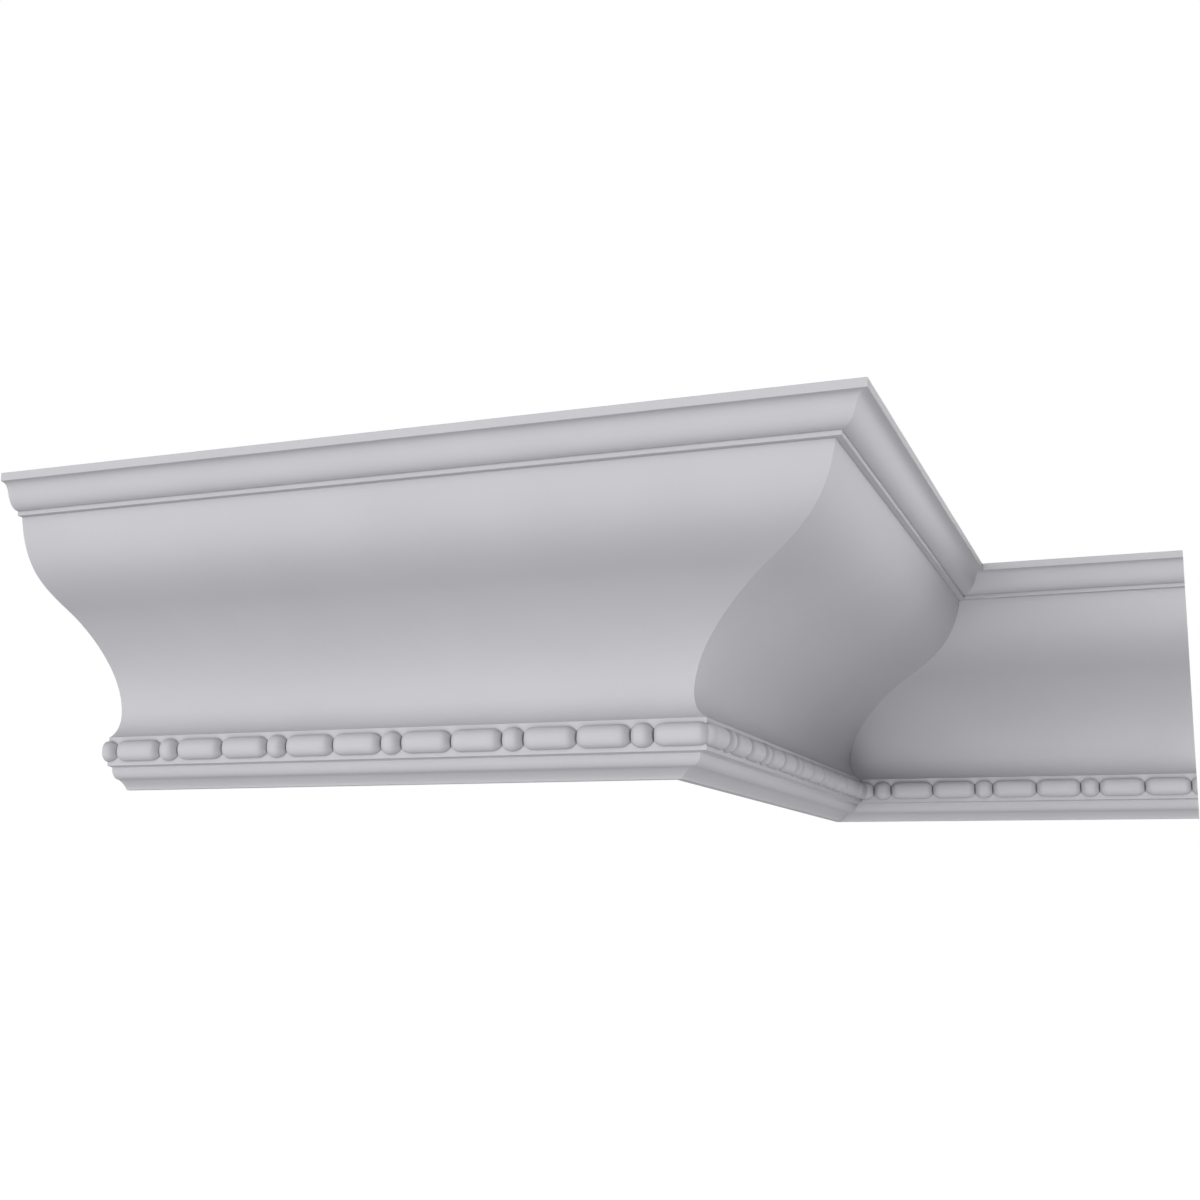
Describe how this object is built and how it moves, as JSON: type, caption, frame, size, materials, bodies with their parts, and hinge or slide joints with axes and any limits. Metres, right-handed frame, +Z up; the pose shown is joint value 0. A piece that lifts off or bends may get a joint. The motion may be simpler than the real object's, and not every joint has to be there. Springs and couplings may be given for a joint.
{
  "type": "cornice moulding",
  "caption": "Stepped cornice moulding with an ogee face and a bead-and-barrel band, mitred round an outside and an inside wall corner, square-cut at both ends.",
  "frame": {"origin": "middle of the front length's flat wall face", "axes": "+Z up; +Y into the wall behind the front length; +X along the front length, from its square end towards the outside corner"},
  "size_m": [0.664, 0.5725, 0.18],
  "materials": {
    "primer": "matt light grey primer on dense moulded foam"
  },
  "bodies": {
    "root": {"front_length": "primer", "return_length": "primer", "back_length": "primer"}
  },
  "joints": []
}
